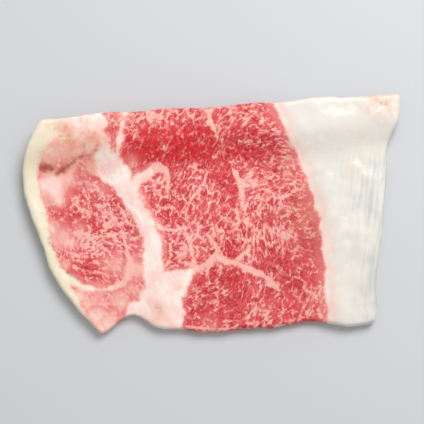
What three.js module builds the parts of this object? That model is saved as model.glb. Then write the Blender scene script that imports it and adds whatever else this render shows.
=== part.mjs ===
// One thin slice of raw marbled beef belly, lying with its cut face up. Millimetres, +Z up.
// X runs from the narrow fat rim on the left to the broad fat cap on the right.
// Y runs from the near cut edge to the far one, and the slice lies on Z = 0.
// The origin is on the lying plane, under the middle of the slice.

import * as THREE from 'three';
import { mergeVertices } from 'three/addons/utils/BufferGeometryUtils.js';

// Sizes of the slice. Places are measured from its leftmost point and its nearest point.
const LENGTH = 98.6;
const WIDTH = 62.0;
const THICKNESS = 3.0;

// Rounding of the rim: its radius, and the share of the thickness that stays an upright cut.
const RIM_RADIUS = 0.9;
const UPRIGHT_SHARE = 0.35;
const CORNER_RADIUS = 1.8;

// The far margin lies one slice higher, with a soft uneven step down to the flat part.
const STEP_RISE = 2.7;
const STEP_RUN = 9.0;
const STEP_PLACE_LEFT = 44.0;
const STEP_PLACE_RIGHT = 51.0;
const STEP_MEANDER = 0.8;
const STEP_MEANDER_LENGTH = 41.0;

// The left margin lifts a little towards its rim.
const LEFT_LIFT = 1.3;
const LEFT_LIFT_REACH = 24.0;

// The near edge is drawn in by a small notch beside the ragged lower tip.
const NOTCH_PLACE = 28.8;
const NOTCH_HALF_WIDTH = 8.2;
const NOTCH_DEPTH = 4.8;
const NOTCH_REACH = 14.0;

// Fat stands a little proud of the lean: the cap on the right, the rim on the left, and the seam.
const CAP_PROUD = 0.3;
const RIM_FAT_PROUD = 0.2;
const RIM_FAT_WIDTH = 3.2;
const SEAM_PROUD = 0.25;
const SEAM_WIDTH = 6.0;
const FAT_SHOULDER = 1.6;

// Soft swells of the cut face, and the wander of the outline: long waves with shorter ones on them.
const SWELL_HEIGHT = 0.14;
const SWELL_LENGTH = 23.0;
const WANDER = 0.26;
const WANDER_LENGTH = 19.0;
const FINE_WANDER = 0.1;
const FINE_WANDER_LENGTH = 6.1;

// The mesh: how many strips run each way, and where the first ones lie, counted from an edge.
const COLUMNS = 56;
const ROWS = 34;
const RIM_STEPS = [0, 0.3, 0.9, 1.8];

const SLICE_COLOUR = 0xe4837f;

// The four edges of the outline, each a smooth curve through the few places that shape it.
const NEAR_LEFT = [20.8, -0.8];
const NEAR_RIGHT = [91.3, 2.6];
const FAR_LEFT = [4.9, 54.9];
const FAR_RIGHT = [LENGTH, WIDTH];
const leftEdge = curveThrough(NEAR_LEFT, [14.0, 6.9], [7.6, 17.2], [2.8, 29.4], [0, 42.5], FAR_LEFT);
const rightEdge = curveThrough(NEAR_RIGHT, [92.4, 19.0], [94.5, 34.0], [95.3, 48.8], [98.2, 54.2], FAR_RIGHT);
const nearEdge = curveThrough(
  NEAR_LEFT, [36.0, 0.6], [50.0, 0.2], [62.0, 0.9], [73.0, 2.6], [83.0, 1.6], NEAR_RIGHT,
);
const farEdge = curveThrough(FAR_LEFT, [27.3, 57.5], [54.0, 59.0], [77.2, 61.0], FAR_RIGHT);

// The boundary between the lean and the fat cap, and the middle of the fat seam between the muscles.
const capBoundary = curveThrough([79.2, 0], [78.5, 15.6], [74.6, 38.6], [64.5, WIDTH]);
const seamMiddle = curveThrough([24.6, 57.5], [23.8, 43.0], [30.2, 32.8], [35.8, 19.2], [37.4, 1.0]);

const ROUTE_SAMPLES = 60;
const capRoute = capBoundary.getSpacedPoints(ROUTE_SAMPLES);
const seamRoute = seamMiddle.getSpacedPoints(ROUTE_SAMPLES);

function curveThrough(...places) {
  return new THREE.SplineCurve(places.map(([x, y]) => new THREE.Vector2(x, y)));
}

// Rises smoothly from 0 to 1 while value goes from start to end.
function ease(value, start, end) {
  return THREE.MathUtils.smoothstep(value, start, end);
}

function distanceToRoute(route, place) {
  return Math.min(...route.map((point) => point.distanceTo(place)));
}

// The share of an edge's length at which a strip lies: close together at both ends, even between.
function stripPlace(index, count, length) {
  const rimCount = RIM_STEPS.length - 1;
  if (index <= rimCount) return RIM_STEPS[index] / length;
  if (index >= count - rimCount) return 1 - RIM_STEPS[count - index] / length;
  const start = RIM_STEPS[rimCount] / length;
  return start + (1 - 2 * start) * (index - rimCount) / (count - 2 * rimCount);
}

// Pulls a place near a corner inwards, so that the corner follows a quarter circle.
function roundCorner(u, v) {
  const reachU = CORNER_RADIUS / LENGTH;
  const reachV = CORNER_RADIUS / WIDTH;
  const edgeU = Math.min(u, 1 - u);
  const edgeV = Math.min(v, 1 - v);
  if (edgeU >= reachU || edgeV >= reachV) return [u, v];
  const a = 1 - edgeU / reachU;
  const b = 1 - edgeV / reachV;
  const roundU = reachU * (1 - a * Math.sqrt(1 - b * b / 2));
  const roundV = reachV * (1 - b * Math.sqrt(1 - a * a / 2));
  return [u < 0.5 ? roundU : 1 - roundU, v < 0.5 ? roundV : 1 - roundV];
}

// The place in plan for shares u and v of the way across: the four edges blended into each other.
function planPlace(u, v) {
  const acrossWidth = nearEdge.getPointAt(u).multiplyScalar(1 - v)
    .add(farEdge.getPointAt(u).multiplyScalar(v));
  const acrossLength = leftEdge.getPointAt(v).multiplyScalar(1 - u)
    .add(rightEdge.getPointAt(v).multiplyScalar(u));
  const nearBlend = new THREE.Vector2(...NEAR_LEFT).lerp(new THREE.Vector2(...NEAR_RIGHT), u);
  const farBlend = new THREE.Vector2(...FAR_LEFT).lerp(new THREE.Vector2(...FAR_RIGHT), u);
  const place = acrossWidth.add(acrossLength).sub(nearBlend.lerp(farBlend, v));
  place.y += notch(place);
  return place.add(new THREE.Vector2(wander(place.y), wander(place.x + LENGTH)));
}

// A wave of the given length along a distance, in full turns.
function wave(distance, length) {
  return Math.sin(2 * Math.PI * distance / length);
}

function wander(distance) {
  return WANDER * wave(distance, WANDER_LENGTH) + FINE_WANDER * wave(distance, FINE_WANDER_LENGTH);
}

function notch(place) {
  const aside = Math.abs(place.x - NOTCH_PLACE) / NOTCH_HALF_WIDTH;
  const above = Math.max(place.y, 0) / NOTCH_REACH;
  if (aside >= 1 || above >= 1) return 0;
  return NOTCH_DEPTH * Math.cos(aside * Math.PI / 2) ** 2 * (1 - above) ** 2;
}

// How far the underside is lifted off the lying plane.
function lift(place) {
  const stepPlace = THREE.MathUtils.lerp(STEP_PLACE_LEFT, STEP_PLACE_RIGHT, place.x / LENGTH)
    + STEP_MEANDER * wave(place.x, STEP_MEANDER_LENGTH);
  const farLift = STEP_RISE * ease(place.y, stepPlace - STEP_RUN / 2, stepPlace + STEP_RUN / 2);
  const leftLift = LEFT_LIFT * ease(LEFT_LIFT_REACH - place.x, 0, LEFT_LIFT_REACH);
  return farLift + leftLift;
}

// How far the cut face stands over a plain slab: proud fat and soft swells.
function relief(place, rimDistance) {
  const capX = capRoute.reduce((best, point) =>
    (Math.abs(point.y - place.y) < Math.abs(best.y - place.y) ? point : best)).x;
  const cap = CAP_PROUD * ease(place.x, capX - FAT_SHOULDER / 2, capX + FAT_SHOULDER / 2);
  const seamDistance = distanceToRoute(seamRoute, place);
  const seam = SEAM_PROUD * (1 - ease(seamDistance, SEAM_WIDTH / 2 - FAT_SHOULDER, SEAM_WIDTH / 2));
  const rim = RIM_FAT_PROUD * (1 - ease(rimDistance, RIM_FAT_WIDTH - FAT_SHOULDER, RIM_FAT_WIDTH));
  const swell = SWELL_HEIGHT * wave(place.x, SWELL_LENGTH) * wave(place.y + place.x / 2, SWELL_LENGTH);
  return Math.max(cap, seam, rim) + swell;
}

// The share of its half thickness that the slice keeps at a distance from an edge.
function rimShare(distance) {
  const inward = 1 - Math.min(distance / RIM_RADIUS, 1);
  return UPRIGHT_SHARE + (1 - UPRIGHT_SHARE) * Math.sqrt(1 - inward * inward);
}

// A box with strips both ways becomes the slice: each of its points moves to its place.
function sliceGeometry() {
  const box = new THREE.BoxGeometry(1, 1, 1, COLUMNS, ROWS, 1);
  box.deleteAttribute('normal');
  box.deleteAttribute('uv');
  const slice = mergeVertices(box);
  const points = slice.attributes.position;
  for (let index = 0; index < points.count; index += 1) {
    const column = Math.round((points.getX(index) + 0.5) * COLUMNS);
    const row = Math.round((points.getY(index) + 0.5) * ROWS);
    const u = stripPlace(column, COLUMNS, LENGTH);
    const v = stripPlace(row, ROWS, WIDTH);
    const place = planPlace(...roundCorner(u, v));
    const share = rimShare(Math.min(u, 1 - u) * LENGTH) * rimShare(Math.min(v, 1 - v) * WIDTH);
    const half = THICKNESS / 2;
    const isTop = points.getZ(index) > 0;
    const height = isTop ? half + share * (half + relief(place, u * LENGTH)) : half * (1 - share);
    points.setXYZ(index, place.x, place.y, lift(place) + height);
  }
  slice.computeBoundingBox();
  const middle = slice.boundingBox.getCenter(new THREE.Vector3());
  slice.translate(-middle.x, -middle.y, 0);
  slice.computeVertexNormals();
  return slice;
}

const sliceMaterial = new THREE.MeshStandardMaterial({ color: SLICE_COLOUR, roughness: 0.45, metalness: 0 });
const beefSlice = new THREE.Mesh(sliceGeometry(), sliceMaterial);
beefSlice.name = 'beef_slice';

const group = new THREE.Group();
group.add(beefSlice);

export default group;
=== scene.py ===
"""One thin slice of raw marbled beef belly, with its fat cap, fat seams and fine marbling, on a pale floor.

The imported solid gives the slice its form. Here it gets its fine surface, its pattern of fat and lean, and
its finish. Lengths are in metres, and the pattern's places are in millimetres from the slice's leftmost and
nearest points.
"""

import math

import bmesh
import bpy
import numpy as np
from bpy.props import FloatProperty, FloatVectorProperty, IntProperty, PointerProperty
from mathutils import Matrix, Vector, noise


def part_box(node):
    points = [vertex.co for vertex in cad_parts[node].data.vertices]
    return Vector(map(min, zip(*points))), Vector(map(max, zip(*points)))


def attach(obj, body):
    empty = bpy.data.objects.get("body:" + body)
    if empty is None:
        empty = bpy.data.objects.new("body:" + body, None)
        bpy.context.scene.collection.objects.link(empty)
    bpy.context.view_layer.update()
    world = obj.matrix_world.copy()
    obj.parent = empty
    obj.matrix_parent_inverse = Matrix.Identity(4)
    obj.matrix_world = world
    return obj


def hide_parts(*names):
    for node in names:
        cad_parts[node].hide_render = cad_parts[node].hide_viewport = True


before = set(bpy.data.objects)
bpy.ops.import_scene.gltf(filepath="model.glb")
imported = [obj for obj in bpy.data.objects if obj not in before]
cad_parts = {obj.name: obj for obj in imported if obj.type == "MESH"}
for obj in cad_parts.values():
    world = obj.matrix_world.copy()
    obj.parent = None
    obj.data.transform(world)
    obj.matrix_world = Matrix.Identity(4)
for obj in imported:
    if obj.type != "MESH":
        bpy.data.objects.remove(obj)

bl_info = {
    "name": "Marbled beef slice",
    "version": (1, 0, 0),
    "blender": (4, 5, 0),
    "location": "3D View > Sidebar > Beef",
    "description": "Builds one raw slice of marbled beef belly and the stage it lies on",
    "category": "Object",
}

MM = 0.001
NODE = "beef_slice"
LOW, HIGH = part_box(NODE)
MIDDLE = (LOW + HIGH) / 2
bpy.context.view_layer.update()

# Stands for a place that no fat or vein is near, in mm.
FAR = 9.0
# Takes the place of a rise of nothing where something is divided by it.
TINY = 1e-9

# The narrow fat rim follows the left edge of the slice. Its widths go from the near end to the far one.
LEFT_EDGE = [(20.8, -0.8), (14.0, 6.9), (7.6, 17.2), (2.8, 29.4), (0.0, 42.5), (4.9, 54.9)]
RIM_WIDTHS = [0.3, 1.9, 2.9, 3.8, 4.5, 6.8]

# The lean ends and the fat cap begins on this line.
CAP_EDGE = [
    (78.8, -3.0), (78.1, 15.6), (76.9, 28.7), (74.2, 38.6), (70.5, 48.5), (65.3, 59.0), (63.2, 66.0),
]

# Fat seams between the muscles: a route, and its half widths from start to end.
SEAMS = {
    "main seam": (
        [
            (23.4, 45.4), (24.8, 41.8), (27.0, 37.8), (29.6, 32.7),
            (32.7, 27.2), (34.0, 22.4), (34.2, 18.4), (35.6, 13.5),
        ],
        [2.0, 3.2, 2.8, 2.1, 2.2, 2.6, 2.6, 3.0],
    ),
    "seam shoulder": ([(21.4, 49.0), (21.2, 45.8), (21.6, 42.8), (23.6, 40.2)], [1.1, 2.3, 2.9, 2.1]),
    "left branch": ([(19.6, 58.5), (20.4, 52.2), (22.8, 45.0)], [1.8, 1.1, 1.6]),
    "right branch": ([(26.9, 58.5), (25.6, 52.0), (24.6, 45.6)], [1.1, 0.4, 0.9]),
    "far patch": ([(10.6, 55.4), (15.0, 54.8), (20.0, 54.6)], [1.4, 2.3, 2.5]),
    "spur": ([(28.6, 38.0), (30.4, 40.6), (33.0, 42.2)], [1.6, 1.5, 1.1]),
    "round end band": (
        [(6.8, 19.6), (9.6, 16.8), (12.8, 13.8), (16.4, 11.9), (20.6, 11.2), (24.6, 11.7)],
        [0.9, 1.2, 1.4, 1.2, 0.7, 0.4],
    ),
}

# Where the main seam's middle comes out at the near edge.
SEAM_END = (38.5, 1.0)

# Where the main seam widens towards the near edge, as the corners of its outline.
SEAM_POOL = [
    (32.3, 16.5), (38.0, 15.8), (44.4, 16.2), (43.4, 12.6), (41.4, 8.4), (41.8, 4.2),
    (41.4, -4.0), (28.6, -4.0), (27.4, 4.0), (28.2, 7.6), (30.8, 9.0), (32.0, 12.0),
]
SEAM_POOL_ROUNDING = 0.4

# Veins of fat inside the muscles, thinner and less even than the seams.
VEINS = {
    "spur end": (
        [(31.6, 40.4), (34.2, 42.8), (36.8, 42.6), (37.9, 39.6), (37.8, 35.8)],
        [1.5, 1.5, 1.1, 0.6, 0.2],
    ),
    "thin seam": ([(44.4, 16.2), (44.3, 20.0), (43.0, 24.6), (41.8, 28.4)], [0.9, 0.7, 0.5, 0.15]),
    "cross seam": ([(35.6, 27.4), (38.8, 26.6), (42.8, 27.4)], [0.8, 0.5, 0.2]),
    "lower vein": (
        [(43.6, 15.8), (47.6, 17.6), (50.4, 19.4), (53.4, 18.3), (56.4, 17.9)],
        [1.2, 0.9, 1.2, 0.9, 0.9],
    ),
    "lower vein end": ([(55.4, 18.2), (57.4, 20.3), (59.6, 22.8)], [0.8, 0.7, 0.3]),
    "lower vein twig": ([(50.4, 19.4), (50.3, 22.6), (48.2, 25.4)], [0.9, 0.7, 0.5]),
    "right vein": (
        [(56.4, 17.6), (60.0, 15.8), (63.2, 14.3), (65.4, 12.2), (67.8, 9.6)],
        [0.8, 0.9, 1.0, 0.7, 0.2],
    ),
    "right vein twig": ([(64.2, 12.4), (64.6, 14.4), (64.4, 16.6)], [0.8, 0.5, 0.2]),
    "fork far arm": ([(54.7, 43.2), (55.5, 41.2), (56.9, 39.2)], [0.2, 0.8, 1.1]),
    "fork right arm": ([(60.2, 42.0), (58.4, 40.4), (56.9, 39.0)], [0.3, 0.7, 1.0]),
    "fork stem": ([(56.9, 39.4), (57.2, 36.4), (56.8, 32.6)], [1.1, 0.9, 0.3]),
    "fork cross arm": ([(57.0, 38.8), (60.0, 38.2), (63.4, 39.0)], [0.9, 0.7, 0.3]),
    "edge branch": ([(64.6, 35.6), (67.6, 35.2), (71.6, 37.4)], [0.3, 0.55, 0.3]),
    "edge branch twig": ([(67.4, 35.4), (66.6, 32.0), (65.9, 26.8)], [0.5, 0.35, 0.2]),
    "far streak": ([(48.4, 57.5), (49.4, 54.0), (50.8, 50.3)], [0.6, 0.6, 0.2]),
    "round end hook": (
        [(24.0, 11.6), (27.0, 13.4), (28.0, 17.4), (27.4, 21.4), (26.4, 24.8)],
        [1.1, 1.2, 1.0, 0.7, 0.2],
    ),
    "spindle edge": ([(10.4, 21.4), (14.0, 20.0), (17.4, 19.6)], [0.4, 0.6, 0.2]),
    "spindle streak": ([(11.8, 18.4), (15.4, 16.4), (20.2, 15.2)], [0.15, 0.3, 0.15]),
    "inner round streak": ([(13.4, 25.6), (17.6, 22.2), (22.0, 21.6), (24.2, 17.8)], [0.2, 0.45, 0.4, 0.15]),
    "rim patch": ([(5.0, 38.6), (8.2, 37.4), (9.4, 34.6), (9.8, 32.6)], [1.6, 2.2, 1.3, 0.3]),
    "tip streak": ([(15.4, 7.6), (19.8, 7.4), (25.4, 7.4)], [0.5, 0.5, 0.2]),
    "tip side streak": ([(17.4, 4.8), (21.0, 4.8), (24.6, 5.2)], [0.2, 0.5, 0.2]),
    "near edge streak": ([(42.6, 1.7), (47.0, 1.2), (52.0, 1.0), (57.0, 1.4)], [0.2, 0.5, 0.4, 0.1]),
    "near edge dash": ([(65.4, 1.4), (67.4, 1.7), (69.6, 1.9)], [0.3, 0.6, 0.3]),
}

# Deeper, more saturated red lean where the slice bends down, partly the wet lean's own deeper red and partly
# painted shade of the bend: a route and its half widths, the distance over which it fades, and the share of
# it that the marbling takes.
DEEP_AND_SHADED_BAND = (
    [(28.6, 48.2), (33.0, 48.9), (40.0, 48.9), (45.6, 49.2), (50.4, 47.0), (57.0, 47.2)],
    [2.4, 3.1, 3.0, 3.0, 0.8, -1.0],
)
DEEP_AND_SHADED_FADE = 3.2
DEEP_AND_SHADED_SHARE = 0.32

# Patches of a changed look: ((x, y), radius in mm, strength). These are tan, with olive spots in them.
TAN_PATCHES = [
    ((10.8, 50.2), 4.4, 1.0),
    ((18.4, 49.2), 3.4, 0.8),
    ((12.6, 45.6), 3.0, 0.7),
    ((7.6, 45.6), 3.0, 0.7),
    ((18.0, 43.8), 2.2, 0.5),
    ((14.6, 52.4), 3.2, 0.5),
    ((14.6, 48.0), 2.8, 0.8),
    ((72.6, 31.0), 5.4, 0.30),
    ((76.6, 8.0), 3.0, 0.20),
    ((93.6, 60.2), 4.2, 0.75),
    ((35.0, 5.0), 3.2, 0.7),
]
# Where a pale film of fat lies over the lean, the same way.
PALE_PATCHES = [
    ((22.0, 2.0), 6.0, 1.2),
    ((19.0, 7.0), 5.0, 0.9),
    ((15.4, 9.6), 2.4, 1.2),
    ((14.6, 52.4), 4.4, 1.5),
    ((14.6, 48.0), 3.0, 1.2),
    ((7.2, 46.4), 3.6, 1.5),
    ((69.8, 44.0), 4.0, 0.45),
    ((12.8, 42.6), 2.6, 1.0),
    ((18.6, 43.2), 3.2, 0.95),
    ((28.2, 44.4), 2.6, 0.6),
    ((8.2, 26.6), 2.6, 1.3),
    ((13.0, 23.0), 2.4, 1.0),
    ((7.6, 37.8), 5.2, 1.5),
    ((12.4, 39.6), 3.0, 1.1),
    ((9.6, 34.4), 2.2, 1.2),
    ((15.0, 41.0), 5.0, 0.6),
    ((9.6, 49.6), 7.0, 1.0),
    ((17.6, 49.0), 5.6, 1.0),
    ((9.8, 24.6), 4.6, 1.0),
    ((15.0, 27.4), 2.4, 0.7),
    ((11.4, 17.4), 2.2, 0.8),
    ((24.4, 17.8), 4.4, 0.85),
    ((29.4, 16.4), 4.0, 1.2),
    ((28.8, 23.0), 3.0, 0.5),
    ((20.4, 10.8), 3.0, 0.95),
    ((20.2, 4.6), 3.0, 1.5),
    ((25.8, 56.6), 3.0, 0.8),
    ((48.8, 1.6), 3.4, 0.5),
    ((28.8, 11.0), 4.4, 0.75),
    ((29.6, 18.6), 3.4, 0.5),
    ((22.0, 38.0), 4.4, 0.6),
    ((25.8, 8.4), 3.6, 1.15),
    ((93.6, 60.2), 4.6, 1.1),
]
# Where the lean is darker and duller, the same way.
DULL_PATCHES = [
    ((75.0, 24.0), 8.0, 0.42),
    ((70.0, 14.0), 10.0, 0.22),
    ((74.0, 33.0), 6.0, 0.25),
    ((48.0, 8.0), 12.0, 0.12),
    ((21.0, 35.0), 5.0, 0.15),
    ((66.2, 43.6), 5.4, 0.22),
    ((66.8, 32.4), 4.0, 0.22),
    ((16.0, 40.4), 3.2, 0.35),
    ((11.0, 27.6), 3.0, 0.20),
    ((6.6, 33.0), 2.4, 0.25),
]
# The share of a patch's radius over which its strength falls off.
PATCH_SPREAD = 0.7

# Dark veins of the left muscle: short ones in the tan lean, and thin arcs round the muscle's near end.
# Where a half width is less than 0, only the peaks of the ragged outline are left of the vein.
DARK_VEINS = {
    "spot": ([(4.9, 43.0), (6.5, 42.7), (8.2, 42.4)], [0.4, 1.0, 0.4]),
    "near arm": ([(8.8, 41.5), (10.4, 42.2), (12.4, 43.8)], [0.4, 0.8, 0.4]),
    "middle arm": ([(12.4, 43.8), (14.4, 45.3), (17.2, 46.3)], [0.4, 0.0, -0.1]),
    "far arm": ([(17.2, 46.3), (19.0, 47.4), (19.8, 49.4)], [-0.1, 0.0, -0.3]),
    "round arm": ([(7.4, 26.6), (8.0, 22.6), (10.2, 20.6), (14.0, 20.8)], [-0.4, -0.1, -0.1, -0.6]),
    "near arc": ([(10.4, 17.0), (13.4, 14.7), (16.8, 13.5), (20.8, 13.4)], [-0.3, 0.0, -0.1, -0.6]),
    "middle arc": ([(12.4, 19.6), (15.0, 17.6), (18.0, 17.2)], [-0.6, -0.3, -0.7]),
    "hook arc": ([(26.6, 21.6), (26.8, 18.0), (25.6, 14.2), (23.4, 12.6)], [-0.4, -0.3, -0.4, -0.7]),
    "seam side arc": ([(27.4, 26.0), (28.6, 23.6), (29.4, 21.2)], [-0.5, 0.0, -0.4]),
    "inner arc": ([(22.8, 26.4), (21.4, 23.6), (21.2, 21.4)], [-0.5, -0.1, -0.5]),
}

# How much of the lean the marbling takes, and places where it takes more or less:
# ((x, y), share, reach in mm).
MARBLING_BASE = 0.5
MARBLING_PLACES = [
    ((56.0, 29.0), 0.62, 15.0),
    ((50.0, 8.0), 0.44, 12.0),
    ((72.0, 12.0), 0.38, 10.0),
    ((64.0, 51.0), 0.54, 10.0),
    ((18.0, 32.0), 0.80, 15.0),
    ((21.0, 21.0), 0.78, 12.0),
    ((12.0, 50.0), 0.75, 9.0),
    ((11.6, 30.0), 0.15, 4.4),
    ((18.4, 28.0), 0.10, 3.6),
    ((16.4, 16.0), 0.20, 4.4),
    ((54.2, 22.2), 0.15, 4.0),
    ((52.4, 38.4), 0.20, 5.0),
    ((69.4, 43.6), 0.90, 7.0),
    ((67.4, 36.6), 0.85, 4.0),
    ((72.0, 35.0), 0.20, 3.0),
    ((40.6, 22.6), 0.85, 6.0),
    ((46.6, 9.0), 0.70, 5.0),
    ((49.4, 1.8), 0.85, 4.0),
    ((65.6, 23.0), 0.80, 6.0),
    ((34.0, 56.8), 0.85, 6.0),
    ((41.0, 57.2), 0.80, 6.0),
    ((48.0, 57.6), 0.80, 4.4),
    ((56.4, 58.4), 0.85, 4.0),
    ((57.8, 53.6), 0.30, 4.4),
    ((43.6, 52.4), 0.30, 3.4),
    ((54.0, 43.2), 0.25, 5.0),
    ((68.6, 28.4), 0.66, 8.0),
    ((65.0, 16.6), 0.70, 3.6),
    ((68.2, 11.4), 0.70, 3.0),
    ((75.6, 11.4), 0.75, 3.6),
    ((73.0, 5.0), 0.30, 3.6),
    ((47.0, 5.4), 0.15, 3.6),
    ((52.4, 5.6), 0.25, 3.6),
    ((26.4, 56.0), 0.95, 5.0),
    ((32.8, 32.6), 0.05, 4.0),
    ((36.8, 33.6), 0.85, 3.4),
    ((35.2, 40.2), 0.85, 3.0),
    ((45.2, 34.0), 0.80, 5.0),
    ((41.6, 37.0), 0.75, 3.0),
    ((47.4, 24.0), 0.90, 4.0),
    ((58.6, 21.8), 0.75, 3.6),
    ((71.4, 18.0), 0.65, 4.6),
    ((76.0, 6.0), 0.80, 5.0),
    ((60.6, 11.4), 0.80, 4.0),
    ((56.8, 11.0), 0.10, 3.4),
    ((61.8, 4.8), 0.85, 4.4),
    ((50.6, 9.2), 0.70, 3.6),
    ((25.0, 31.4), 0.90, 3.6),
    ((20.8, 33.2), 0.30, 4.4),
    ((48.6, 51.4), 0.85, 3.0),
    ((52.6, 46.2), 0.80, 3.6),
    ((38.6, 51.4), 0.75, 3.6),
    ((59.4, 40.4), 0.80, 3.4),
    ((39.4, 31.0), 0.20, 3.4),
    ((38.4, 37.0), 0.25, 3.0),
    ((57.6, 49.0), 0.40, 6.0),
    ((62.4, 44.2), 0.20, 6.0),
    ((19.6, 18.6), 0.15, 3.4),
    ((17.2, 31.2), 0.35, 4.0),
    ((47.0, 13.8), 0.25, 3.6),
    ((51.6, 14.0), 0.30, 3.2),
    ((55.8, 8.4), 0.10, 4.8),
    ((62.8, 18.8), 0.15, 3.6),
    ((67.2, 14.2), 0.15, 3.6),
    ((66.6, 19.4), 0.20, 5.0),
    ((74.4, 22.4), 0.10, 4.4),
]

# The way the marbling runs in each muscle, in degrees from +X, and how much longer than wide it is.
LEFT_GRAIN = -62.0
MAIN_GRAIN = 58.0
GRAIN_STRETCH = 1.2
# Places round which the marbling's way is turned further: ((x, y), degrees, reach in mm).
GRAIN_TURNS = [
    ((71.0, 37.0), -32.0, 9.0),
    ((54.0, 27.0), 16.0, 9.0),
    ((50.0, 7.0), -20.0, 7.0),
    ((18.0, 15.0), 46.0, 6.0),
    ((62.0, 54.0), -40.0, 7.0),
]

# The way the streaks run in the fat cap, in degrees from +X: dull streaks of the fat's own, which along the
# outer edge also paint shade and a dark reflection.
CAP_STREAK_WAY = 83.0
# Beyond this distance from the near edge, in mm, the fat cap's streaks and clouds are left out. This is
# painted light that keeps the raised far margin and its bend bright against their shading.
LIT_FAR_MARGIN = 50.0
LIT_FAR_MARGIN_FADE = 8.0

# Loose flecks of fat in the lean, larger than the net of marbling: their seed, and their sizes in mm.
FLECK_SEED = 41
FLECK_LENGTHS = (1.6, 5.4)
FLECK_HALF_WIDTHS = (0.15, 0.48)
# The higher these powers, the more of the flecks are short and thin.
FLECK_LENGTH_POWER = 2
FLECK_WIDTH_POWER = 1.5
# Flecks keep this far from large fat, in mm, and out of lean with a smaller share of marbling than this.
FLECK_CLEARANCE = 1.1
FLECK_SHARE = 0.34
# A fleck is as likely as this times the share of marbling at its place.
FLECK_LIKELIHOOD = 1.5
# How far a fleck may turn from its way and bend over its length, in radians from end to end.
FLECK_TURN = 1.1
FLECK_BEND = 1.6
# The width along a fleck as a share of its widest, and the same for a twig from its middle.
FLECK_TAPER = [0.15, 0.8, 1.0, 0.7, 0.1]
TWIG_TAPER = [0.7, 0.5, 0.1]
# How many flecks have a twig, how far it turns aside at least, and its length as a share of the fleck's.
TWIG_LIKELIHOOD = 0.45
TWIG_TURN = 0.7
TWIG_LENGTH = 0.6
# Further than this round a fleck its depth isn't worked out, in mm.
FLECK_MARGIN = 1.5
# How softly, in mm squared, and how sharply the flecks go over from one way to the next.
DIRECTION_SOFTNESS = 9.0
DIRECTION_POWER = 1.5
# The flecks turn with their place: ((x, y), degrees from +X).
FLECK_DIRECTIONS = [
    ((48.0, 6.0), 40.0),
    ((70.0, 10.0), 62.0),
    ((56.0, 26.0), 95.0),
    ((42.0, 36.0), 70.0),
    ((70.0, 38.0), 12.0),
    ((64.0, 52.0), 20.0),
    ((44.0, 50.0), 80.0),
    ((20.0, 28.0), -58.0),
    ((16.0, 18.0), -35.0),
]

# The solid's triangles are joined to quads up to this angle between them.
WIDEST_JOIN = math.radians(60.0)
QUAD_CORNERS = 4
# Faces whose normal has a smaller z than this are underneath.
UNDERSIDE_Z = -0.5
# The lean sinks over this distance from the fat, in mm.
LEAN_SHOULDER = 1.4
# The unevenness of the face and of the rim: coarse and fine sizes in mm, and how much the fine one counts,
# which is more on lean. The rim's clouds come from another place of the noise.
FACE_CLOUDS = 3.2
FACE_GRAIN = 1.4
FACE_GRAIN_WEIGHT = 0.3
LEAN_GRAIN_WEIGHT = 0.5
RIM_CLOUDS = 2.6
RIM_GRAIN = 0.9
RIM_GRAIN_WEIGHT = 0.6
RIM_CLOUDS_PLACE = Vector((7, 3, 1))

# The middle of a noise that lies between 0 and 1.
NOISE_MIDDLE = 0.5
# What each pattern adds to the marbling: the net of cells, the ridges, the dashes and the broad mottle.
NET_WEIGHT = 0.27
RIDGE_WEIGHT = 0.21
DASH_WEIGHT = 1.15
MOTTLE_WEIGHT = 0.8
# The level over which their sum is fat where the marbling's share is 0, and how far it drops at 1.
FAT_LEVEL = 1.49
FAT_LEVEL_DROP = 0.55
# How much of the marbling's strength is lost in the deep band; the loss darkens the band as part of the
# bend's painted shade.
DEEP_AND_SHADED_LOSS = 0.35
# The dashes are drawn out a little along the marbling's way.
DASH_SQUEEZE = (0.8, 1.0, 1.0)
# How far the film of fat hides the lean, and how much marbling still shows through it.
FILM_STRENGTH = 0.85
FILM_MARBLING = 0.2
# What the streaks and the clouds add to the fat cap's darker colour: the streaks along the outer edge are
# partly painted shade and a painted dark reflection, and the clouds are a tone of the fat's own.
STREAK_WEIGHT = 0.9
CLOUD_WEIGHT = 0.5
# The way the tan stains run, in degrees from +X.
TAN_WAY = 35.0
# How much the marbling stands out of the lean in the fine relief.
MARBLING_RELIEF = 0.35

# The floor's clouds: their size in metres, and their brightness as a share of the floor's.
FLOOR_CLOUDS = 0.4
FLOOR_SHADE = 0.97
# Nothing nearer than this share of the camera's distance is shown.
NEAR_CLIP = 0.01


def colour_property(name, description, default):
    """One colour that a user may change."""
    return FloatVectorProperty(name=name, description=description, subtype="COLOR", default=default)


class BeefSliceSizes(bpy.types.PropertyGroup):
    """Sizes of the slice's fine surface."""

    merge_gap: FloatProperty(
        name="Merge gap", description="Points closer than this become one", default=1e-6, unit="LENGTH",
    )
    fine_cuts: IntProperty(
        name="Fine cuts", description="How many cuts refine each edge of the shown face",
        default=2, min=1, max=3,
    )
    lean_sink: FloatProperty(
        name="Lean sink", description="How far lean lies under the fat beside it",
        default=0.10 * MM, unit="LENGTH",
    )
    surface_relief: FloatProperty(
        name="Surface relief", description="Height of the small unevenness of the face",
        default=0.09 * MM, unit="LENGTH",
    )
    edge_raggedness: FloatProperty(
        name="Edge raggedness", description="How far the cut rim wanders in and out",
        default=0.22 * MM, unit="LENGTH",
    )
    fleck_tries: IntProperty(
        name="Flecks", description="How many loose flecks of fat are tried", default=520, min=0,
    )


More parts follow.
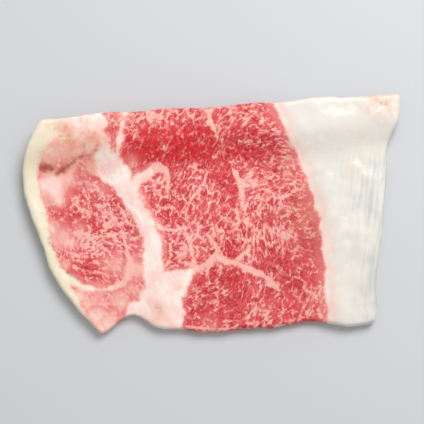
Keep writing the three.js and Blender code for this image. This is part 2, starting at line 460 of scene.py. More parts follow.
class BeefColours(bpy.types.PropertyGroup):
    """Colours of the lean and the fat."""

    # Red of the deep band: partly the lean's own deeper red, partly painted shade of the bend.
    lean_vivid_and_shaded: colour_property("Vivid lean", "Clear red of the deep band", (0.66, 0.010, 0.016))
    lean_deep: colour_property("Deep lean", "Deeper red of the lean", (0.56, 0.014, 0.022))
    lean: colour_property("Lean", "Plain red of the lean", (0.71, 0.054, 0.070))
    lean_dark: colour_property("Dark lean", "Small dark dots and duller patches", (0.41, 0.010, 0.015))
    fleck_thin: colour_property("Thin marbling", "Marbling that the red shows through", (0.78, 0.185, 0.175))
    fleck: colour_property("Marbling", "Marbling and small veins", (0.90, 0.470, 0.400))
    seam_fat: colour_property("Seam fat", "Fat between the muscles", (0.93, 0.84, 0.765))
    seam_pink: colour_property("Pink seam fat", "Pinker stretches of the seams", (0.93, 0.63, 0.58))
    rim_fat: colour_property("Rim fat", "Cream fat of the narrow rim", (0.84, 0.75, 0.575))
    cap_fat: colour_property("Cap fat", "Fat of the broad cap", (0.78, 0.745, 0.68))
    # Partly the fat's own duller tone, partly painted shade and a painted dark reflection along the cap's
    # outer edge.
    cap_streak_and_shade: colour_property("Cap shade", "Duller streaks in the fat cap", (0.57, 0.58, 0.545))
    cap_warm: colour_property("Warm cap", "Warmer patches in the fat cap", (0.79, 0.70, 0.585))
    tan: colour_property("Tan", "Aged tan patches", (0.74, 0.36, 0.22))
    olive: colour_property("Olive", "Duller spots in the tan patches", (0.52, 0.34, 0.20))
    dark_vein: colour_property("Dark vein", "Dark veins in the left muscle", (0.36, 0.065, 0.035))


class BeefStageLook(bpy.types.PropertyGroup):
    """The floor, the light and the camera."""

    floor_size: FloatProperty(name="Floor size", description="Side of the floor", default=6.0, unit="LENGTH")
    floor_colour: colour_property("Floor colour", "Plain pale floor", (0.60, 0.61, 0.63))
    camera_elevation: FloatProperty(
        name="Camera elevation", description="Height of the view above the horizon",
        default=math.radians(80.0), subtype="ANGLE",
    )
    camera_lens: FloatProperty(name="Lens", description="Focal length in millimetres", default=120.0)
    frame_fill: FloatProperty(
        name="Frame fill", description="Share of the picture's width that the slice takes",
        default=0.90, subtype="FACTOR",
    )
    key_power: FloatProperty(
        name="Key light", description="Power of the main light", default=2.6, unit="POWER",
    )
    key_size: FloatProperty(
        name="Key light size", description="Width of the main light", default=0.35, unit="LENGTH",
    )
    key_place: FloatVectorProperty(
        name="Key light place", description="Where the main light is, from the slice's middle",
        default=(0.18, 0.30, 0.48), subtype="TRANSLATION",
    )
    sky_strength: FloatProperty(name="Sky", description="Strength of the even light all round", default=0.55)


def smooth_route(places, steps=12):
    """Points of a smooth curve through the places, with the given number of steps between each two."""
    nodes = np.array(places, float)
    nodes = np.vstack([2 * nodes[0] - nodes[1], nodes, 2 * nodes[-1] - nodes[-2]])
    points = []
    for before, start, end, after in zip(nodes[:-3], nodes[1:-2], nodes[2:-1], nodes[3:]):
        for step in range(steps):
            t = step / steps
            points.append(
                0.5
                * (
                    2 * start
                    + (end - before) * t
                    + (2 * before - 5 * start + 4 * end - after) * t**2
                    + (3 * start - before - 3 * end + after) * t**3
                )
            )
    points.append(nodes[-2])
    return np.array(points)


def spread_widths(widths, count):
    """The widths given along a route, spread over that many points of it."""
    return np.interp(np.linspace(0, 1, count), np.linspace(0, 1, len(widths)), widths)


def line_depth(points, line, half_widths):
    """How far each point lies outside a line of changing half width; less than 0 inside it."""
    depth = np.full(len(points), FAR)
    for index in range(len(line) - 1):
        along = line[index + 1] - line[index]
        share = np.clip((points - line[index]) @ along / (along @ along), 0, 1)
        gap = np.linalg.norm(points - line[index] - share[:, None] * along, axis=1)
        half_width = half_widths[index] + share * (half_widths[index + 1] - half_widths[index])
        depth = np.minimum(depth, gap - half_width)
    return depth


def route_depth(points, places, half_widths):
    """How far each point lies outside a smooth route; less than 0 inside its half widths."""
    line = smooth_route(places)
    return line_depth(points, line, spread_widths(half_widths, len(line)))


def routes_depth(points, routes):
    """The least depth over several named routes."""
    return np.min([route_depth(points, *route) for route in routes.values()], axis=0)


def outline_depth(points, corners, rounding):
    """How far each point lies outside a closed outline with rounded corners; less than 0 inside it."""
    loop = np.array(corners + corners[:1], float)
    gap = line_depth(points, loop, np.zeros(len(loop)))
    inside = np.zeros(len(points), bool)
    for start, end in zip(loop[:-1], loop[1:]):
        crosses = (start[1] > points[:, 1]) != (end[1] > points[:, 1])
        rise = end[1] - start[1] or TINY
        reach = start[0] + (points[:, 1] - start[1]) * (end[0] - start[0]) / rise
        inside ^= crosses & (points[:, 0] < reach)
    return np.where(inside, -gap, gap) - rounding


def across_line(points, places):
    """How far each point lies to the right of a line that runs from the near edge to the far one."""
    line = smooth_route(places)
    order = np.argsort(line[:, 1])
    slant = np.gradient(line[order, 0], line[order, 1])
    x = np.interp(points[:, 1], line[order, 1], line[order, 0])
    slant_there = np.interp(points[:, 1], line[order, 1], slant)
    return (points[:, 0] - x) / np.hypot(1, slant_there)


def fat_depth(points):
    """Depth of each point in the lean, measured from the nearest large fat: the cap, the rim or a seam."""
    cap = -across_line(points, CAP_EDGE)
    edge = smooth_route(LEFT_EDGE)
    rim_width = np.interp(points[:, 1], edge[:, 1], spread_widths(RIM_WIDTHS, len(edge)))
    rim = across_line(points, LEFT_EDGE) - rim_width
    pool = outline_depth(points, SEAM_POOL, SEAM_POOL_ROUNDING)
    return np.min([cap, rim, pool, routes_depth(points, SEAMS)], axis=0)


def in_left_muscle(points):
    """True left of the main seam's middle, which parts the two muscles."""
    seam = SEAMS["left branch"][0][:-1] + SEAMS["main seam"][0] + [SEAM_END]
    return across_line(points, seam) < 0


def grain_places(points, heights):
    """Places turned to the marbling's way in each muscle, and drawn together along it."""
    turned = np.zeros((len(points), 3))
    left = in_left_muscle(points)
    for middle, degrees, reach in GRAIN_TURNS:
        points = twirled(points, middle, math.radians(-degrees), reach)
    for part, degrees in ((left, LEFT_GRAIN), (~left, MAIN_GRAIN)):
        angle = math.radians(degrees)
        along = points[part] @ np.array([math.cos(angle), math.sin(angle)])
        aside = points[part] @ np.array([-math.sin(angle), math.cos(angle)])
        turned[part, 0] = along / GRAIN_STRETCH
        turned[part, 1] = aside
    turned[:, 2] = heights
    return turned


def nearness(points, middle, spread):
    """1 at the middle, falling smoothly towards 0 over about twice the spread."""
    return np.exp(-np.sum((points - np.array(middle)) ** 2, axis=1) / (2 * spread**2))


def twirled(points, middle, angle, reach):
    """The points turned round a middle, most at the middle and ever less away from it."""
    offset = points - np.array(middle)
    turn = angle * nearness(points, middle, reach)
    x = offset[:, 0] * np.cos(turn) - offset[:, 1] * np.sin(turn)
    y = offset[:, 0] * np.sin(turn) + offset[:, 1] * np.cos(turn)
    return np.array(middle) + np.column_stack([x, y])


def marbling_share(points):
    """How much of the lean the marbling takes."""
    band = fade(route_depth(points, *DEEP_AND_SHADED_BAND), DEEP_AND_SHADED_FADE)
    share = MARBLING_BASE + (DEEP_AND_SHADED_SHARE - MARBLING_BASE) * band
    for middle, value, reach in MARBLING_PLACES:
        share += (value - MARBLING_BASE) * nearness(points, middle, reach / 2)
    return np.clip(share, 0, 1)


def fade(depth, width):
    """1 inside, falling smoothly to 0 at the given distance outside."""
    share = np.clip(1 - depth / width, 0, 1)
    return share * share * (3 - 2 * share)


def patches(points, places):
    """The strength of each round patch in its middle, falling to 0 well outside it."""
    total = np.zeros(len(points))
    for middle, radius, strength in places:
        total = np.maximum(total, strength * nearness(points, middle, radius * PATCH_SPREAD))
    return total


def fleck_direction(place):
    """The way a fleck runs at a place: the given directions blended, the nearest ones most."""
    doubled = np.zeros(2)
    for middle, degrees in FLECK_DIRECTIONS:
        weight = 1 / (np.sum((np.array(middle) - place) ** 2) + DIRECTION_SOFTNESS)
        angle = 2 * math.radians(degrees)
        doubled += weight**DIRECTION_POWER * np.array([math.cos(angle), math.sin(angle)])
    return math.atan2(doubled[1], doubled[0]) / 2


def between(limits, share):
    """The number that lies at a share of the way between two limits."""
    return limits[0] + (limits[1] - limits[0]) * share


def fleck_routes(tries):
    """Short bent flecks of fat, some with a side twig, at random places in the lean."""
    draw = np.random.default_rng(FLECK_SEED)
    size = np.array([HIGH.x - LOW.x, HIGH.y - LOW.y]) / MM
    places = draw.random((tries, 2)) * size
    depth = fat_depth(places)
    share = marbling_share(places)
    fitting = (depth >= FLECK_CLEARANCE) & (share >= FLECK_SHARE)
    routes = []
    for index, place in enumerate(places):
        chance, long_draw, wide_draw, turn_draw, bend_draw, twig_draw = draw.random(6)
        if not fitting[index] or chance > FLECK_LIKELIHOOD * share[index]:
            continue
        length = between(FLECK_LENGTHS, long_draw**FLECK_LENGTH_POWER)
        half_width = between(FLECK_HALF_WIDTHS, wide_draw**FLECK_WIDTH_POWER)
        angle = fleck_direction(place) + (turn_draw - 0.5) * FLECK_TURN
        bend = (bend_draw - 0.5) * FLECK_BEND
        line = bent_line(place, angle, bend, length)
        routes.append((line, half_width * np.array(FLECK_TAPER)))
        if twig_draw < TWIG_LIKELIHOOD:
            side = 1 if bend_draw < 0.5 else -1
            root = line[len(line) // 2]
            twig = bent_line(root, angle + side * (TWIG_TURN + twig_draw), -bend, length * TWIG_LENGTH)
            routes.append((twig[len(twig) // 2:], half_width * np.array(TWIG_TAPER)))
    return routes


def bent_line(middle, angle, bend, length):
    """A line that turns by bend over its length, with a point for each width of a fleck."""
    shares = np.linspace(-0.5, 0.5, len(FLECK_TAPER))
    turns = angle + bend * shares
    ways = np.column_stack([np.cos(turns), np.sin(turns)])
    return np.array(middle) + ways * (shares * length)[:, None]


def flecks_depth(points, routes):
    """The least depth over many short flecks, each worked out only for the points around it."""
    depth = np.full(len(points), FAR)
    for line, half_widths in routes:
        low = line.min(0) - FLECK_MARGIN
        high = line.max(0) + FLECK_MARGIN
        near = np.flatnonzero(np.all((points > low) & (points < high), axis=1))
        depth[near] = np.minimum(depth[near], line_depth(points[near], line, half_widths))
    return depth


def quads_of_node():
    """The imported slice's surface as a bmesh of joined quads."""
    sizes = bpy.context.scene.beef_sizes
    shape = bmesh.new()
    shape.from_mesh(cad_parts[NODE].data)
    bmesh.ops.remove_doubles(shape, verts=shape.verts, dist=sizes.merge_gap)
    bmesh.ops.join_triangles(
        shape, faces=shape.faces, angle_face_threshold=WIDEST_JOIN, angle_shape_threshold=WIDEST_JOIN,
    )
    return shape


def rounded_copy(shape):
    """The shape after one level of smoothing subdivision, as a new bmesh."""
    rough = bpy.data.meshes.new("rough_slice")
    shape.to_mesh(rough)
    shape.free()
    holder = bpy.data.objects.new("rough_slice", rough)
    bpy.context.scene.collection.objects.link(holder)
    rounding = holder.modifiers.new("Rounding", "SUBSURF")
    rounding.levels = 1
    rounding.render_levels = 1
    evaluated = holder.evaluated_get(bpy.context.evaluated_depsgraph_get())
    rounded = bmesh.new()
    rounded.from_mesh(evaluated.to_mesh())
    evaluated.to_mesh_clear()
    bpy.data.objects.remove(holder)
    bpy.data.meshes.remove(rough)
    return rounded


def refine_shown_faces(shape, cuts):
    """Cuts the upper face and the rim finer, and leaves the underside as it is."""
    shape.normal_update()
    shown = [face for face in shape.faces if face.normal.z > UNDERSIDE_Z]
    edges = list(dict.fromkeys(edge for face in shown for edge in face.edges))
    bmesh.ops.subdivide_edges(shape, edges=edges, cuts=cuts, use_grid_fill=True)
    uneven = [face for face in shape.faces if len(face.verts) > QUAD_CORNERS]
    bmesh.ops.triangulate(shape, faces=uneven)
    bmesh.ops.recalc_face_normals(shape, faces=shape.faces)


def cloud(place, size):
    """Smooth noise between about -1 and 1, with features of the given size, at a place in mm."""
    return noise.noise(Vector(place) / size)


def roughen(shape, lean_depth):
    """Sinks the lean under the fat and gives the face and the rim their small unevenness."""
    sizes = bpy.context.scene.beef_sizes
    shape.normal_update()
    for vert, lean in zip(shape.verts, 1 - fade(lean_depth, LEAN_SHOULDER)):
        place = (vert.co - LOW) / MM
        upward = max(vert.normal.z, 0.0)
        sideways = 1 - abs(vert.normal.z)
        grain_weight = FACE_GRAIN_WEIGHT + LEAN_GRAIN_WEIGHT * lean
        relief = cloud(place, FACE_CLOUDS) + grain_weight * cloud(place, FACE_GRAIN)
        ragged = cloud(place + RIM_CLOUDS_PLACE, RIM_CLOUDS) + RIM_GRAIN_WEIGHT * cloud(place, RIM_GRAIN)
        shift = upward * (sizes.surface_relief * relief - sizes.lean_sink * lean)
        shift += sideways * sizes.edge_raggedness * ragged
        vert.co += vert.normal * shift


def write_value(mesh, name, values):
    """Stores a number for each point of the mesh, under the name that the material reads."""
    mesh.attributes.new(name, "FLOAT", "POINT").data.foreach_set("value", values.astype(np.float32))


def build_slice():
    """Makes the slice's mesh with the attributes that its material reads."""
    sizes = bpy.context.scene.beef_sizes
    shape = rounded_copy(quads_of_node())
    refine_shown_faces(shape, sizes.fine_cuts)
    shape.verts.ensure_lookup_table()
    places = np.array([vert.co for vert in shape.verts]) / MM - np.array(LOW) / MM
    points = places[:, :2]
    heights = places[:, 2]
    lean_depth = fat_depth(points)
    roughen(shape, lean_depth)

    mesh = bpy.data.meshes.new("marbled_slice")
    shape.to_mesh(mesh)
    shape.free()
    mesh.shade_smooth()
    flecks = flecks_depth(points, fleck_routes(sizes.fleck_tries))
    write_value(mesh, "fat_depth", lean_depth)
    write_value(mesh, "vein_depth", np.minimum(flecks, routes_depth(points, VEINS)))
    write_value(mesh, "marbling", marbling_share(points))
    # Where the deep band paints the bend's shade over the lean's own deeper red.
    write_value(mesh, "deep_and_shaded", fade(route_depth(points, *DEEP_AND_SHADED_BAND), DEEP_AND_SHADED_FADE))
    write_value(mesh, "pale", patches(points, PALE_PATCHES))
    write_value(mesh, "tan", patches(points, TAN_PATCHES))
    write_value(mesh, "dull", patches(points, DULL_PATCHES))
    write_value(mesh, "dark_depth", routes_depth(points, DARK_VEINS))
    write_value(mesh, "cap_depth", across_line(points, CAP_EDGE))
    # Where painted light keeps the fat cap's raised far margin and bend bright.
    write_value(mesh, "lit_far_margin", fade(LIT_FAR_MARGIN - points[:, 1], LIT_FAR_MARGIN_FADE))
    write_value(mesh, "rim_depth", across_line(points, LEFT_EDGE))
    grain = mesh.attributes.new("grain", "FLOAT_VECTOR", "POINT")
    grain.data.foreach_set("vector", grain_places(points, heights).astype(np.float32).ravel())

    piece = bpy.data.objects.new("marbled_slice", mesh)
    bpy.context.scene.collection.objects.link(piece)
    return piece


class NodePen:
    """Adds nodes to one material. Each method returns the socket that it makes."""

    def __init__(self, material):
        material.use_nodes = True
        self.nodes = material.node_tree.nodes
        self.links = material.node_tree.links
        self.nodes.clear()

    def add(self, kind, **settings):
        node = self.nodes.new(kind)
        for name, value in settings.items():
            setattr(node, name, value)
        return node

    def feed(self, socket, value):
        """Links a socket to another, or sets its number, vector or colour."""
        if isinstance(value, bpy.types.NodeSocket):
            self.links.new(value, socket)
        elif socket.type == "RGBA":
            socket.default_value = (*value, 1.0)
        else:
            socket.default_value = value

    def attribute(self, name, output="Fac"):
        return self.add("ShaderNodeAttribute", attribute_name=name).outputs[output]

    def math(self, operation, first, second=0.0, third=0.0):
        node = self.add("ShaderNodeMath", operation=operation)
        for socket, value in zip(node.inputs, (first, second, third)):
            self.feed(socket, value)
        return node.outputs[0]

    def vector(self, operation, first, second):
        node = self.add("ShaderNodeVectorMath", operation=operation)
        self.feed(node.inputs[0], first)
        self.feed(node.inputs[1], second)
        return node.outputs[0]

    def ease(self, value, start, end, low=0.0, high=1.0):
        """Goes smoothly from low to high while value goes from start to end."""
        node = self.add("ShaderNodeMapRange", interpolation_type="SMOOTHSTEP")
        for socket, number in zip(node.inputs, (value, start, end, low, high)):
            self.feed(socket, number)
        return node.outputs[0]

    def noise(self, place, size, detail=2.0, output="Fac"):
        """Noise with features of the given size, in the units of place."""
        node = self.add("ShaderNodeTexNoise")
        self.feed(node.inputs["Vector"], place)
        self.feed(node.inputs["Scale"], 1.0 / size)
        self.feed(node.inputs["Detail"], detail)
        return node.outputs[output]

    def wobble(self, place, size, reach, detail):
        """Noise with features of the given size, which goes up to half the reach both ways from 0."""
        centred = -NOISE_MIDDLE * reach
        return self.math("MULTIPLY_ADD", self.noise(place, size, detail), reach, centred)

    def cell_edge(self, place, size):
        """Distance to the nearest edge between cells of the given size, in the units of place."""
        node = self.add("ShaderNodeTexVoronoi", feature="DISTANCE_TO_EDGE")
        self.feed(node.inputs["Vector"], place)
        self.feed(node.inputs["Scale"], 1.0 / size)
        return self.math("MULTIPLY", node.outputs["Distance"], size)

    def mix(self, share, first, second):
        """A colour between two others. The node's colour sockets come after those for numbers and vectors."""
        node = self.add("ShaderNodeMix", data_type="RGBA")
        self.feed(node.inputs["Factor"], share)
        self.feed(node.inputs[6], first)
        self.feed(node.inputs[7], second)
        return node.outputs[2]

    def blend(self, share, first, second):
        """A number between two others."""
        node = self.add("ShaderNodeMix", data_type="FLOAT")
        self.feed(node.inputs[0], share)
        self.feed(node.inputs[2], first)
        self.feed(node.inputs[3], second)
        return node.outputs[0]

    def turned(self, place, degrees, stretch):
        """The place seen along a direction in plan, drawn out along it by the stretch."""
        node = self.add("ShaderNodeMapping", vector_type="TEXTURE")
        self.feed(node.inputs["Vector"], place)
        node.inputs["Rotation"].default_value = (0.0, 0.0, math.radians(degrees))
        node.inputs["Scale"].default_value = (stretch, 1.0, 1.0)
        return node.outputs["Vector"]


def warped(pen, place, size, amount):
    """The place moved about by noise of the given size, by up to about half the amount."""
    shift = pen.noise(place, size, output="Color")
    centred = pen.vector("SUBTRACT", shift, (NOISE_MIDDLE, NOISE_MIDDLE, NOISE_MIDDLE))
    return pen.vector("ADD", place, pen.vector("MULTIPLY", centred, (amount, amount, amount)))


def marbling_amount(pen, place, grain):
    """How fatty the lean is at a point, from 0 for plain lean to 1 for a thick white fleck."""
    share = pen.attribute("marbling")
    bent = warped(pen, warped(pen, grain, size=5.0, amount=3.2), size=1.4, amount=1.1)

    net = pen.ease(pen.cell_edge(bent, size=2.2), start=0.0, end=0.5, low=1.0, high=0.0)
    cloudy = pen.noise(bent, size=1.9, detail=3.0)
    ridge_gap = pen.math("ABSOLUTE", pen.math("SUBTRACT", cloudy, NOISE_MIDDLE))
    ridge = pen.ease(ridge_gap, start=0.0, end=0.07, low=1.0, high=0.0)
    dashes = pen.noise(pen.vector("MULTIPLY", grain, DASH_SQUEEZE), size=0.75, detail=3.0)
    mottle = pen.noise(place, size=3.8)

    field = pen.math("MULTIPLY_ADD", net, NET_WEIGHT, pen.math("MULTIPLY", ridge, RIDGE_WEIGHT))
    field = pen.math("MULTIPLY_ADD", dashes, DASH_WEIGHT, field)
    field = pen.math("MULTIPLY_ADD", mottle, MOTTLE_WEIGHT, field)
    level = pen.math("MULTIPLY_ADD", share, -FAT_LEVEL_DROP, FAT_LEVEL)
    over = pen.math("SUBTRACT", field, level)
    # Less marbling in the deep band darkens it, as part of the bend's painted shade.
    strength = pen.math("MULTIPLY_ADD", pen.attribute("deep_and_shaded"), -DEEP_AND_SHADED_LOSS, 1.0)
    fleck = pen.math("MULTIPLY", pen.ease(over, start=-0.24, end=0.42), strength)

    coarse = pen.wobble(place, size=2.6, reach=1.6, detail=1.0)
    fine = pen.wobble(place, size=0.8, reach=1.6, detail=3.0)
    vein_edge = pen.math("ADD", pen.attribute("vein_depth"), pen.math("ADD", coarse, fine))
    vein = pen.ease(vein_edge, start=-0.45, end=0.30, low=0.92, high=0.0)
    core = pen.ease(vein_edge, start=-1.6, end=-0.5, low=0.32, high=0.0)
    vein = pen.math("ADD", vein, core)
    specks = pen.ease(pen.noise(bent, size=0.42), start=0.44, end=0.70, low=0.0, high=0.36)
    frost = pen.math("MULTIPLY", specks, strength)
    amount = pen.math("MAXIMUM", pen.math("MAXIMUM", fleck, vein), frost)
    uneven = pen.ease(mottle, start=0.3, end=0.65, low=0.8, high=1.1)
    film = pen.math("MULTIPLY", pen.math("MULTIPLY", pen.attribute("pale"), uneven), FILM_STRENGTH)
    return pen.math("MAXIMUM", amount, pen.math("MULTIPLY_ADD", amount, FILM_MARBLING, film))


def lean_colour(pen, place, amount):
    """Red lean that goes over pink into the pale colour of its marbling."""
    colours = bpy.context.scene.beef_colours
    darkness = pen.ease(pen.noise(place, size=6.0, detail=3.0), start=0.35, end=0.65)
    red = pen.mix(darkness, colours.lean, colours.lean_deep)
    # The deep band's darker, redder lean is partly painted shade of the bend.
    red = pen.mix(pen.attribute("deep_and_shaded"), red, colours.lean_vivid_and_shaded)
    dots = pen.ease(pen.noise(place, size=1.2), start=0.34, end=0.54, low=0.85, high=0.0)
    red = pen.mix(dots, red, colours.lean_dark)
    thin = pen.mix(pen.ease(amount, start=0.0, end=0.55), red, colours.fleck_thin)
    pink = pen.mix(pen.ease(amount, start=0.4, end=1.0), thin, colours.fleck)
    frosted = pen.mix(pen.ease(amount, start=0.95, end=1.35), pink, colours.seam_pink)
    return pen.mix(pen.attribute("dull"), frosted, colours.lean_dark)


def seam_colour(pen, place):
    """Pinkish fat with faint fibres along the seam."""
    colours = bpy.context.scene.beef_colours
    fibres = pen.noise(pen.turned(place, LEFT_GRAIN, stretch=4.0), size=0.9, detail=3.0)
    cloudy = pen.ease(pen.noise(place, size=4.5), start=0.36, end=0.64, low=0.15, high=0.95)
    seam = pen.mix(cloudy, colours.seam_fat, colours.seam_pink)
    return pen.mix(pen.ease(fibres, start=0.50, end=0.78, low=0.0, high=0.5), seam, colours.fleck)


def cap_colour(pen, place):
    """Nearly white fat with dull streaks along the cap's outer edge, partly the fat's own and partly painted
    shade and a painted dark reflection there, warmer clouds, and a far margin kept bright by painted light.
    """
    colours = bpy.context.scene.beef_colours
    streak_noise = pen.noise(pen.turned(place, CAP_STREAK_WAY, stretch=9.0), size=1.0)
    streaks = pen.ease(streak_noise, start=0.34, end=0.74)
    # The streaks darken most along the cap's outer edge: painted shade and a painted dark reflection over
    # dull streaks of the fat's own.
    outer = pen.ease(pen.attribute("cap_depth"), start=5.0, end=15.0)
    clouds = pen.ease(pen.noise(place, size=8.0), start=0.36, end=0.64)
    streaks_and_shade = pen.math("MULTIPLY", streaks, outer)
    clouded = pen.math("MULTIPLY", clouds, CLOUD_WEIGHT)
    shade = pen.math("MULTIPLY_ADD", streaks_and_shade, STREAK_WEIGHT, clouded)
    # Painted light: the streaks, the painted shade and the clouds fade out over the raised far margin and its
    # bend.
    shade = pen.math("MULTIPLY", shade, pen.math("SUBTRACT", 1.0, pen.attribute("lit_far_margin")))
    cap = pen.mix(shade, colours.cap_fat, colours.cap_streak_and_shade)
    warm = pen.ease(pen.noise(place, size=6.0), start=0.50, end=0.68, low=0.0, high=0.6)
    return pen.mix(warm, cap, colours.cap_warm)


def fat_colour(pen, place, fat_edge):
    """Pinkish seams, a cream rim and a whiter cap; all fat blushes where it meets the lean."""
    colours = bpy.context.scene.beef_colours
    cap_share = pen.ease(pen.attribute("cap_depth"), start=-1.0, end=3.0)
    rim_share = pen.ease(pen.attribute("rim_depth"), start=2.5, end=8.0, low=1.0, high=0.0)
    fat = pen.mix(rim_share, seam_colour(pen, place), colours.rim_fat)
    fat = pen.mix(cap_share, fat, cap_colour(pen, place))
    soft_edge = pen.math("ADD", fat_edge, pen.wobble(place, size=3.4, reach=4.0, detail=2.0))
    soft_blush = pen.ease(soft_edge, start=-4.8, end=0.4, low=0.0, high=0.62)
    cap_blush = pen.math("MULTIPLY", soft_blush, cap_share)
    near_blush = pen.ease(fat_edge, start=-1.1, end=0.1, low=0.0, high=0.8)
    return pen.mix(pen.math("MAXIMUM", cap_blush, near_blush), fat, colours.fleck)


def stained(pen, place, colour):
    """The colour with cream, tan, olive and dark brown worked in where the mesh's attributes ask for them."""
    colours = bpy.context.scene.beef_colours
    tan_area = pen.attribute("tan")
    bleached = pen.math("MULTIPLY", pen.attribute("pale"), tan_area)
    cream_noise = pen.ease(pen.noise(place, size=2.0, detail=3.0), start=0.42, end=0.62, low=0.0, high=0.6)
    colour = pen.mix(pen.math("MULTIPLY", bleached, cream_noise), colour, colours.rim_fat)
    streaky = pen.noise(pen.turned(place, TAN_WAY, stretch=1.5), size=2.4, detail=3.0)
    tan_noise = pen.ease(streaky, start=0.38, end=0.60, low=0.3, high=0.95)
    colour = pen.mix(pen.math("MULTIPLY", tan_area, tan_noise), colour, colours.tan)
    olive_noise = pen.ease(pen.noise(place, size=1.7), start=0.56, end=0.72, low=0.0, high=0.75)
    colour = pen.mix(pen.math("MULTIPLY", tan_area, olive_noise), colour, colours.olive)
    ragged = pen.wobble(place, size=1.3, reach=2.4, detail=4.0)
    dark_edge = pen.math("ADD", pen.attribute("dark_depth"), ragged)
    dark_share = pen.ease(dark_edge, start=-0.9, end=0.9, low=0.9, high=0.0)
    return pen.mix(dark_share, colour, colours.dark_vein)


def beef_finish():
    """The material of the whole slice: marbled lean and fat, told apart by the mesh's attributes."""
    material = bpy.data.materials.new("raw marbled beef")
    pen = NodePen(material)
    object_place = pen.add("ShaderNodeTexCoord").outputs["Object"]
    place = pen.vector("DIVIDE", object_place, (MM, MM, MM))
    grain = pen.attribute("grain", "Vector")

    amount = marbling_amount(pen, place, grain)
    broad_wobble = pen.wobble(place, size=3.4, reach=2.0, detail=1.0)
    fine_wobble = pen.wobble(place, size=1.4, reach=1.5, detail=4.0)
    wobble = pen.math("ADD", broad_wobble, fine_wobble)
    fat_edge = pen.math("ADD", pen.attribute("fat_depth"), wobble)
    fat_share = pen.ease(fat_edge, start=-0.50, end=0.35, low=1.0, high=0.0)
    beside_fat = pen.ease(fat_edge, start=0.2, end=1.6, low=0.42, high=0.0)
    beside_cap = pen.ease(pen.attribute("cap_depth"), start=-4.0, end=-0.2, low=0.0, high=0.5)
    amount = pen.math("MAXIMUM", amount, beside_fat)
    amount = pen.math("MAXIMUM", amount, beside_cap)
    colour = pen.mix(fat_share, lean_colour(pen, place, amount), fat_colour(pen, place, fat_edge))
    colour = stained(pen, place, colour)

    sheen = pen.noise(place, size=2.2, detail=3.0)
    lean_roughness = pen.ease(sheen, start=0.3, end=0.7, low=0.28, high=0.46)
    fat_roughness = pen.ease(sheen, start=0.3, end=0.7, low=0.34, high=0.48)
    roughness = pen.blend(fat_share, lean_roughness, fat_roughness)

    lean_noise = pen.noise(place, size=0.7, detail=3.0)
    lean_height = pen.math("MULTIPLY_ADD", amount, MARBLING_RELIEF, lean_noise)
    fat_height = pen.noise(pen.turned(place, CAP_STREAK_WAY, stretch=3.0), size=1.6)
    bump = pen.add("ShaderNodeBump")
    pen.feed(bump.inputs["Strength"], 0.6)
    pen.feed(bump.inputs["Distance"], 0.16 * MM)
    pen.feed(bump.inputs["Height"], pen.blend(fat_share, lean_height, fat_height))

    shader = pen.add("ShaderNodeBsdfPrincipled")
    pen.feed(shader.inputs["Base Color"], colour)
    pen.feed(shader.inputs["Roughness"], roughness)
    pen.feed(shader.inputs["Normal"], bump.outputs["Normal"])
    shader.inputs["IOR"].default_value = 1.38
    shader.inputs["Specular IOR Level"].default_value = 0.4
    shader.inputs["Subsurface Weight"].default_value = 0.12
    shader.inputs["Subsurface Radius"].default_value = (1.0, 0.35, 0.25)
    shader.inputs["Subsurface Scale"].default_value = 0.8 * MM
    shader.inputs["Coat Weight"].default_value = 0.3
    shader.inputs["Coat Roughness"].default_value = 0.13
    output = pen.add("ShaderNodeOutputMaterial")
    pen.feed(output.inputs["Surface"], shader.outputs["BSDF"])
    return material


def floor_finish(colour):
    """A plain matt material with a faint cloudiness."""
    material = bpy.data.materials.new("pale floor")
    pen = NodePen(material)
    place = pen.add("ShaderNodeTexCoord").outputs["Object"]
    clouds = pen.noise(place, FLOOR_CLOUDS)
    shade = tuple(channel * FLOOR_SHADE for channel in colour)
    shader = pen.add("ShaderNodeBsdfPrincipled")
    pen.feed(shader.inputs["Base Color"], pen.mix(clouds, tuple(colour), shade))
    shader.inputs["Roughness"].default_value = 0.6
    output = pen.add("ShaderNodeOutputMaterial")
    pen.feed(output.inputs["Surface"], shader.outputs["BSDF"])
    return material


class BEEF_OT_slice(bpy.types.Operator):
    """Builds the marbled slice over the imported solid"""

    bl_idname = "beef.slice"
    bl_label = "Marbled slice"
    bl_options = {"REGISTER", "UNDO"}

    def execute(self, context):
        piece = build_slice()
        piece.data.materials.append(beef_finish())
        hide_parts(NODE)
        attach(piece, "root")
        return {"FINISHED"}


class BEEF_OT_stage(bpy.types.Operator):
    """Adds the pale floor, the soft light and the camera"""

    bl_idname = "beef.stage"
    bl_label = "Stage"
    bl_options = {"REGISTER", "UNDO"}

    def execute(self, context):
        look = context.scene.beef_stage
        add_floor(look)
        add_light(look)
        add_camera(look)
        return {"FINISHED"}


def add_floor(look):
    """A plain floor that reaches well past the slice."""
    sheet = bmesh.new()
    bmesh.ops.create_grid(sheet, x_segments=1, y_segments=1, size=look.floor_size / 2)
    mesh = bpy.data.meshes.new("floor")
    sheet.to_mesh(mesh)
    sheet.free()
    mesh.materials.append(floor_finish(look.floor_colour))
    floor = bpy.data.objects.new("floor", mesh)
    bpy.context.scene.collection.objects.link(floor)


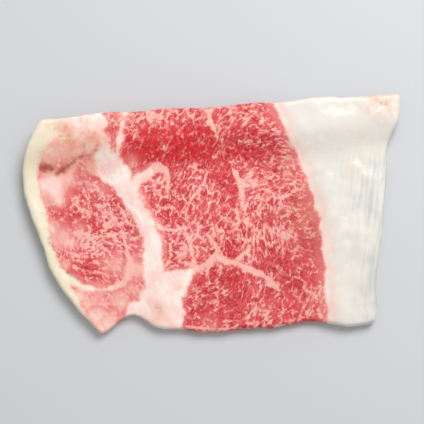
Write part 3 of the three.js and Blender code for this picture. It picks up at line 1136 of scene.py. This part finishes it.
def add_light(look):
    """One broad soft light from above and behind, and an even sky."""
    scene = bpy.context.scene
    world = bpy.data.worlds.new("even sky")
    world.use_nodes = True
    sky = world.node_tree.nodes["Background"]
    sky.inputs["Color"].default_value = (1.0, 1.0, 1.0, 1.0)
    sky.inputs["Strength"].default_value = look.sky_strength
    scene.world = world
    lamp = bpy.data.lights.new("key light", "AREA")
    lamp.shape = "DISK"
    lamp.size = look.key_size
    lamp.energy = look.key_power
    holder = bpy.data.objects.new("key light", lamp)
    holder.location = MIDDLE + Vector(look.key_place)
    holder.rotation_euler = (MIDDLE - holder.location).to_track_quat("-Z", "Y").to_euler()
    scene.collection.objects.link(holder)
    scene.view_settings.view_transform = "Standard"


def add_camera(look):
    """A camera in front of the slice, looking steeply down at it."""
    lens = bpy.data.cameras.new("camera")
    lens.lens = look.camera_lens
    camera = bpy.data.objects.new("camera", lens)
    field = (HIGH.x - LOW.x) / look.frame_fill
    distance = field * lens.lens / lens.sensor_width
    back = Vector((0.0, -math.cos(look.camera_elevation), math.sin(look.camera_elevation)))
    camera.location = MIDDLE + back * distance
    camera.rotation_euler = back.to_track_quat("Z", "Y").to_euler()
    lens.clip_start = distance * NEAR_CLIP
    bpy.context.scene.collection.objects.link(camera)
    bpy.context.scene.camera = camera


class BEEF_PT_panel(bpy.types.Panel):
    """Lists the steps that build the slice and its stage"""

    bl_label = "Beef slice"
    bl_idname = "BEEF_PT_panel"
    bl_space_type = "VIEW_3D"
    bl_region_type = "UI"
    bl_category = "Beef"

    def draw(self, context):
        for operator in (BEEF_OT_slice, BEEF_OT_stage):
            self.layout.operator(operator.bl_idname)
        for group in (context.scene.beef_sizes, context.scene.beef_colours, context.scene.beef_stage):
            box = self.layout.box()
            for name in group.__annotations__:
                box.prop(group, name)


CLASSES = (
    BeefSliceSizes,
    BeefColours,
    BeefStageLook,
    BEEF_OT_slice,
    BEEF_OT_stage,
    BEEF_PT_panel,
)


def register():
    for cls in CLASSES:
        bpy.utils.register_class(cls)
    bpy.types.Scene.beef_sizes = PointerProperty(type=BeefSliceSizes)
    bpy.types.Scene.beef_colours = PointerProperty(type=BeefColours)
    bpy.types.Scene.beef_stage = PointerProperty(type=BeefStageLook)


def unregister():
    del bpy.types.Scene.beef_stage
    del bpy.types.Scene.beef_colours
    del bpy.types.Scene.beef_sizes
    for cls in reversed(CLASSES):
        bpy.utils.unregister_class(cls)


def main():
    register()
    bpy.ops.beef.slice()
    bpy.ops.beef.stage()


if __name__ == "__main__":
    main()
